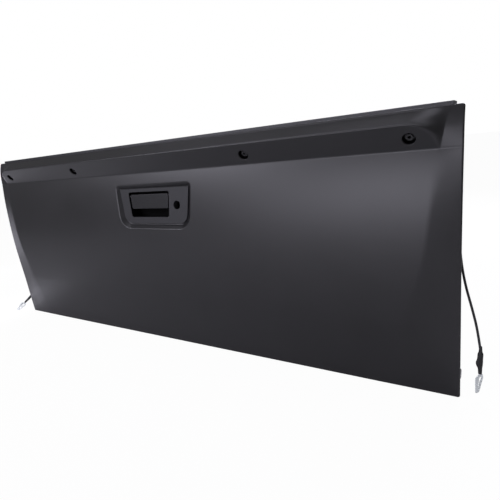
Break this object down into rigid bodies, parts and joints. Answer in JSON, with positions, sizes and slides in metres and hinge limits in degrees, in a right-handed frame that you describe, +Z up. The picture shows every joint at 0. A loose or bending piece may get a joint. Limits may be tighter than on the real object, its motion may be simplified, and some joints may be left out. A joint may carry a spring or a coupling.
{
  "type": "pickup truck tailgate",
  "caption": "Steel pickup tailgate in black primer with a stamped outer face, ribbed bed side, pull handle, side latches, hinge pins and two support cables.",
  "frame": {"origin": "middle of the flat underside of the gate, halfway through its thickness", "axes": "+X to the right as the outer face is seen, -Y out of the outer face, +Y out of the bed side, +Z up"},
  "size_m": [1.6815, 0.1083, 0.603],
  "materials": {
    "skin_primer": "satin",
    "panel_primer": "satin",
    "trim_plastic": "fine grain",
    "handle_plastic": "satin",
    "latch_steel": "satin",
    "zinc": "zinc plated",
    "cable_vinyl": "gloss",
    "rubber_black": "matte"
  },
  "bodies": {
    "gate": {"outer_skin": "skin_primer", "inner_panel": "panel_primer", "access_cover": "panel_primer", "cover_screws": "zinc", "top_channel": "panel_primer", "fixing_cups": "panel_primer", "fixing_nuts": "zinc", "handle_bezel": "trim_plastic", "handle_housing": "trim_plastic", "handle_pin": "zinc", "side_channel_right": "panel_primer", "latch_body_right": "latch_steel", "latch_fork_right": "latch_steel", "latch_screws_right": "zinc", "hinge_pivot_right": "latch_steel", "hinge_bolts_right": "zinc", "bump_stop_right": "rubber_black", "cable_stud_right": "zinc", "cable_eye_right": "zinc", "cable_right": "cable_vinyl", "cable_boot_right": "rubber_black", "cable_end_right": "zinc", "side_channel_left": "panel_primer", "latch_body_left": "latch_steel", "latch_fork_left": "latch_steel", "latch_screws_left": "zinc", "hinge_pivot_left": "latch_steel", "hinge_bolts_left": "zinc", "bump_stop_left": "rubber_black", "cable_stud_left": "zinc", "cable_eye_left": "zinc", "cable_left": "cable_vinyl", "cable_boot_left": "rubber_black", "cable_end_left": "zinc"},
    "handle": {"pull_handle": "handle_plastic"}
  },
  "joints": [
    {"name": "handle_hinge", "type": "hinge", "parent": "gate", "child": "handle", "pos_m": [-0.018, -0.03719, 0.45417], "axis": [-1, 0, 0], "range_deg": [0, 30], "stiffness_Nm_per_rad": 1.2, "springref_deg": -8.59}
  ]
}
